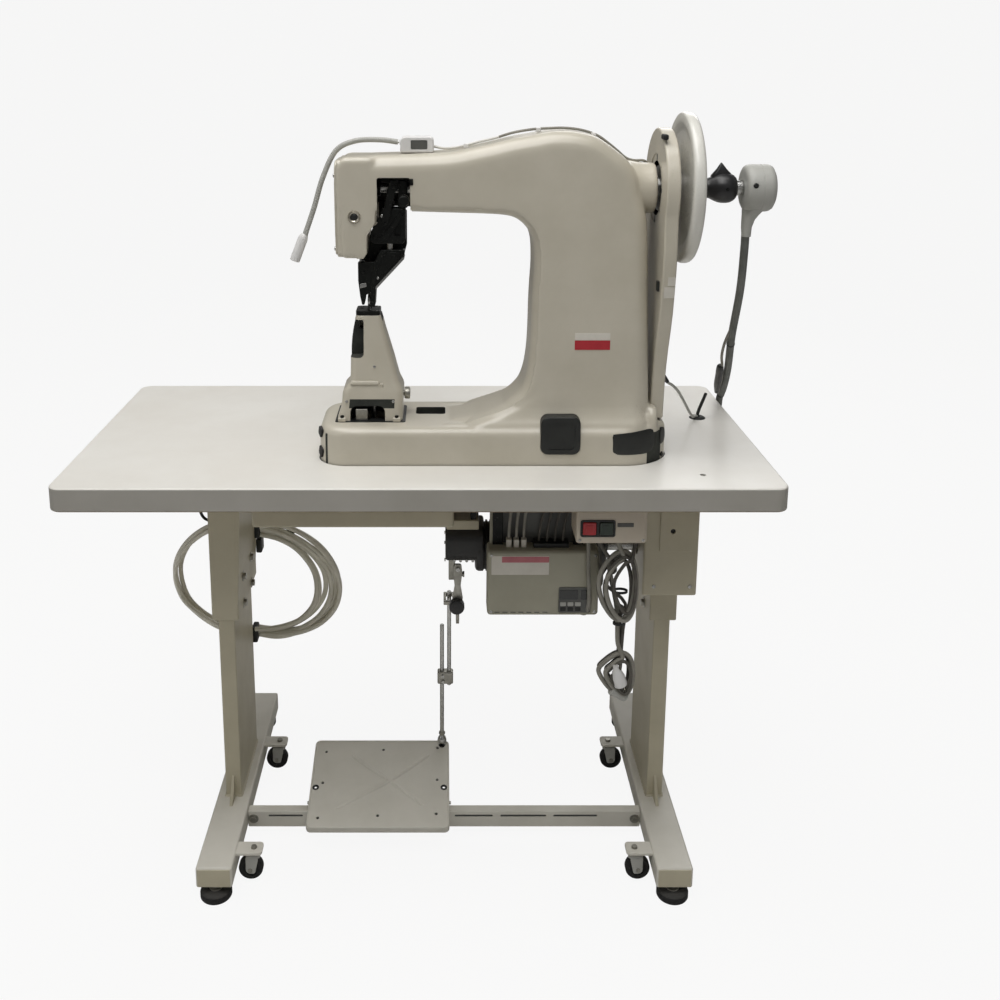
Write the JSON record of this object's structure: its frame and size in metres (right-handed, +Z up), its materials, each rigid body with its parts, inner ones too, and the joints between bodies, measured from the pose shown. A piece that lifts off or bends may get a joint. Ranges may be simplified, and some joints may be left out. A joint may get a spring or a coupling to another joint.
{
  "type": "post-bed leather sewing machine with table",
  "caption": "Post-bed leather sewing machine: tall C-shaped head with tapered post and roller foot on a laminate table with height-adjustable T-legs, underslung servo motor and treadle.",
  "frame": {"origin": "bottom centre of the whole object's bounding box, on the floor", "axes": "+Z up, +X to the operator's right (towards the handwheel), +Y away from the operator"},
  "size_m": [1.2231, 0.6, 1.37],
  "materials": {
    "cast_paint": "semi-gloss warm grey-beige enamel over cast metal",
    "stand_paint": "satin grey-beige powder coat",
    "table_laminate": "off-white laminate over wood core",
    "white_paint": "gloss off-white enamel",
    "bright_steel": "ground and polished steel",
    "black_steel": "black oxide",
    "cast_iron": "painted casting",
    "motor_black": "black painted motor shell",
    "black_plastic": "matt black moulding",
    "rubber": "matt black rubber",
    "grey_plastic": "matt grey moulding",
    "white_plastic": "white moulding",
    "grey_cable": "light grey cable sheath",
    "red_plastic": "red button cap",
    "green_plastic": "dark button cap"
  },
  "bodies": {
    "stand_base": {"left_foot": "stand_paint", "right_foot": "stand_paint", "cross_brace": "stand_paint"},
    "table_and_head": {"left_column": "stand_paint", "right_column": "stand_paint", "table_top": "table_laminate", "drip_pan": "stand_paint", "head_rest_peg": "black_plastic", "switch_box": "white_plastic", "motor": "motor_black", "motor_bracket": "black_steel", "control_box": "grey_plastic", "drive_belt": "rubber", "lower_belt_guard": "stand_paint", "machine_casting": "cast_iron", "face_cover": "cast_paint", "front_port_plug": "black_plastic", "synchronizer": "grey_plastic", "synchronizer_cable": "grey_cable", "upper_belt_guard": "cast_paint", "post_casting": "cast_iron", "needle_plate": "black_steel", "bobbin": "bright_steel", "timing_belt": "rubber", "lamp_box": "white_plastic", "hose_coil": "grey_cable", "cable_bundle": "grey_cable"},
    "left_front_pad": {"left_front_levelling_pad": "rubber"},
    "left_rear_pad": {"left_rear_levelling_pad": "rubber"},
    "left_front_caster": {"left_front_caster_fork": "stand_paint"},
    "left_front_wheel": {"left_front_caster_wheel": "rubber"},
    "left_rear_caster": {"left_rear_caster_fork": "stand_paint"},
    "left_rear_wheel": {"left_rear_caster_wheel": "rubber"},
    "right_front_pad": {"right_front_levelling_pad": "rubber"},
    "right_rear_pad": {"right_rear_levelling_pad": "rubber"},
    "right_front_caster": {"right_front_caster_fork": "stand_paint"},
    "right_front_wheel": {"right_front_caster_wheel": "rubber"},
    "right_rear_caster": {"right_rear_caster_fork": "stand_paint"},
    "right_rear_wheel": {"right_rear_caster_wheel": "rubber"},
    "start_button": {"on_button": "green_plastic"},
    "stop_button": {"off_button": "red_plastic"},
    "main_shaft": {"main_shaft": "bright_steel", "handwheel": "white_paint", "shaft_end_coupling": "rubber"},
    "lower_shaft": {"lower_shaft": "bright_steel"},
    "hook": {"rotary_hook": "bright_steel"},
    "feed_wheel": {"feed_wheel": "bright_steel"},
    "motor_pulley": {"motor_pulley": "bright_steel"},
    "needle_bar": {"needle_bar": "bright_steel"},
    "take_up": {"take_up_lever": "bright_steel"},
    "lifter": {"presser_lifter_lever": "bright_steel"},
    "presser": {"presser_bar": "black_steel", "roller_foot_bracket": "black_steel"},
    "roller_foot": {"roller_foot": "bright_steel"},
    "tension_nut": {"thread_tension": "bright_steel"},
    "lamp_arm": {"lamp_gooseneck": "white_plastic"},
    "pedal": {"pedal": "stand_paint"},
    "rod_lower": {"pitman_rod_lower": "bright_steel"},
    "rod_upper": {"pitman_rod_upper": "bright_steel"},
    "treadle_lever": {"treadle_lever": "bright_steel"}
  },
  "joints": [
    {"name": "table_height", "type": "slide", "parent": "stand_base", "child": "table_and_head", "axis": [0, 0, 1], "range_m": [-0.04, 0.08]},
    {"name": "left_front_pad_screw", "type": "slide", "parent": "stand_base", "child": "left_front_pad", "axis": [0, 0, 1], "range_m": [-0.008, 0.008]},
    {"name": "left_rear_pad_screw", "type": "slide", "parent": "stand_base", "child": "left_rear_pad", "axis": [0, 0, 1], "range_m": [-0.008, 0.008]},
    {"name": "left_front_caster_swivel", "type": "hinge", "parent": "stand_base", "child": "left_front_caster", "pos_m": [-0.31355, -0.222, 0.054], "axis": [0, 0, 1], "continuous": true},
    {"name": "left_front_wheel_spin", "type": "hinge", "parent": "left_front_caster", "child": "left_front_wheel", "pos_m": [-0.31955, -0.222, 0.025], "axis": [0, 1, 0], "continuous": true},
    {"name": "left_rear_caster_swivel", "type": "hinge", "parent": "stand_base", "child": "left_rear_caster", "pos_m": [-0.31355, 0.105, 0.054], "axis": [0, 0, 1], "continuous": true},
    {"name": "left_rear_wheel_spin", "type": "hinge", "parent": "left_rear_caster", "child": "left_rear_wheel", "pos_m": [-0.31955, 0.105, 0.025], "axis": [0, 1, 0], "continuous": true},
    {"name": "right_front_pad_screw", "type": "slide", "parent": "stand_base", "child": "right_front_pad", "axis": [0, 0, 1], "range_m": [-0.008, 0.008]},
    {"name": "right_rear_pad_screw", "type": "slide", "parent": "stand_base", "child": "right_rear_pad", "axis": [0, 0, 1], "range_m": [-0.008, 0.008]},
    {"name": "right_front_caster_swivel", "type": "hinge", "parent": "stand_base", "child": "right_front_caster", "pos_m": [0.37445, -0.222, 0.054], "axis": [0, 0, 1], "continuous": true},
    {"name": "right_front_wheel_spin", "type": "hinge", "parent": "right_front_caster", "child": "right_front_wheel", "pos_m": [0.38045, -0.222, 0.025], "axis": [0, 1, 0], "continuous": true},
    {"name": "right_rear_caster_swivel", "type": "hinge", "parent": "stand_base", "child": "right_rear_caster", "pos_m": [0.37445, 0.105, 0.054], "axis": [0, 0, 1], "continuous": true},
    {"name": "right_rear_wheel_spin", "type": "hinge", "parent": "right_rear_caster", "child": "right_rear_wheel", "pos_m": [0.38045, 0.105, 0.025], "axis": [0, 1, 0], "continuous": true},
    {"name": "start_button_press", "type": "slide", "parent": "table_and_head", "child": "start_button", "axis": [0, 1, 0], "range_m": [0, 0.003], "stiffness_N_per_m": 300},
    {"name": "stop_button_press", "type": "slide", "parent": "table_and_head", "child": "stop_button", "axis": [0, 1, 0], "range_m": [0, 0.003], "stiffness_N_per_m": 300},
    {"name": "main_shaft_spin", "type": "hinge", "parent": "table_and_head", "child": "main_shaft", "pos_m": [0.02645, -0.105, 1.243], "axis": [1, 0, 0], "continuous": true},
    {"name": "lower_shaft_spin", "type": "hinge", "parent": "table_and_head", "child": "lower_shaft", "pos_m": [0.02645, -0.105, 0.785], "axis": [1, 0, 0], "continuous": true},
    {"name": "hook_spin", "type": "hinge", "parent": "table_and_head", "child": "hook", "pos_m": [-0.09255, -0.105, 0.98], "axis": [0, 0, 1], "continuous": true},
    {"name": "feed_wheel_spin", "type": "hinge", "parent": "table_and_head", "child": "feed_wheel", "pos_m": [-0.09805, -0.105, 1.0212], "axis": [1, 0, 0], "continuous": true},
    {"name": "motor_pulley_spin", "type": "hinge", "parent": "table_and_head", "child": "motor_pulley", "pos_m": [0.39745, -0.095, 0.592], "axis": [1, 0, 0], "continuous": true},
    {"name": "needle_bar_stroke", "type": "slide", "parent": "table_and_head", "child": "needle_bar", "axis": [0, 0, 1], "range_m": [-0.042, 0]},
    {"name": "take_up_swing", "type": "hinge", "parent": "table_and_head", "child": "take_up", "pos_m": [-0.05255, -0.147, 1.25], "axis": [0, 1, 0], "range_deg": [-25, 0]},
    {"name": "presser_lifter_turn", "type": "hinge", "parent": "table_and_head", "child": "lifter", "pos_m": [-0.03355, -0.038, 1.223], "axis": [0, 1, 0], "range_deg": [0, 40]},
    {"name": "presser_bar_lift", "type": "slide", "parent": "table_and_head", "child": "presser", "axis": [0, 0, 1], "range_m": [0, 0.009]},
    {"name": "roller_foot_spin", "type": "hinge", "parent": "presser", "child": "roller_foot", "pos_m": [-0.09805, -0.105, 1.05], "axis": [1, 0, 0], "continuous": true},
    {"name": "tension_nut_turn", "type": "hinge", "parent": "table_and_head", "child": "tension_nut", "pos_m": [-0.03655, -0.16, 1.228], "axis": [0, 1, 0], "range_deg": [-180, 180]},
    {"name": "lamp_arm_swing", "type": "hinge", "parent": "table_and_head", "child": "lamp_arm", "pos_m": [-0.04405, -0.112, 1.32], "axis": [0, 0, 1], "range_deg": [-15, 15]},
    {"name": "pedal_tilt", "type": "hinge", "parent": "stand_base", "child": "pedal", "pos_m": [-0.09355, -0.105, 0.069], "axis": [1, 0, 0], "range_deg": [-8, 12]},
    {"name": "rod_lower_swing", "type": "hinge", "parent": "pedal", "child": "rod_lower", "pos_m": [0.02645, 0.0178, 0.116], "axis": [1, 0, 0], "range_deg": [-18.17, 12.11]},
    {"name": "rod_length", "type": "slide", "parent": "rod_lower", "child": "rod_upper", "axis": [0, 0, 1], "range_m": [-0.04, 0.08]},
    {"name": "treadle_lever_swing", "type": "hinge", "parent": "table_and_head", "child": "treadle_lever", "pos_m": [0.05545, -0.095, 0.535], "axis": [1, 0, 0], "range_deg": [-8.71, 13.07]}
  ],
  "couplings": [
    {"joint": "lower_shaft_spin", "follows": "main_shaft_spin", "ratio": 1},
    {"joint": "hook_spin", "follows": "main_shaft_spin", "ratio": 2},
    {"joint": "feed_wheel_spin", "follows": "main_shaft_spin", "ratio": 0.0448},
    {"joint": "motor_pulley_spin", "follows": "main_shaft_spin", "ratio": 1.367},
    {"joint": "presser_lifter_turn", "follows": "presser_bar_lift", "rad_per_m": 77.5},
    {"joint": "roller_foot_spin", "follows": "main_shaft_spin", "ratio": -0.0454},
    {"joint": "rod_lower_swing", "follows": "pedal_tilt", "ratio": -1.514},
    {"joint": "rod_length", "follows": "table_height", "ratio": 1},
    {"joint": "treadle_lever_swing", "follows": "pedal_tilt", "ratio": 1.089}
  ]
}
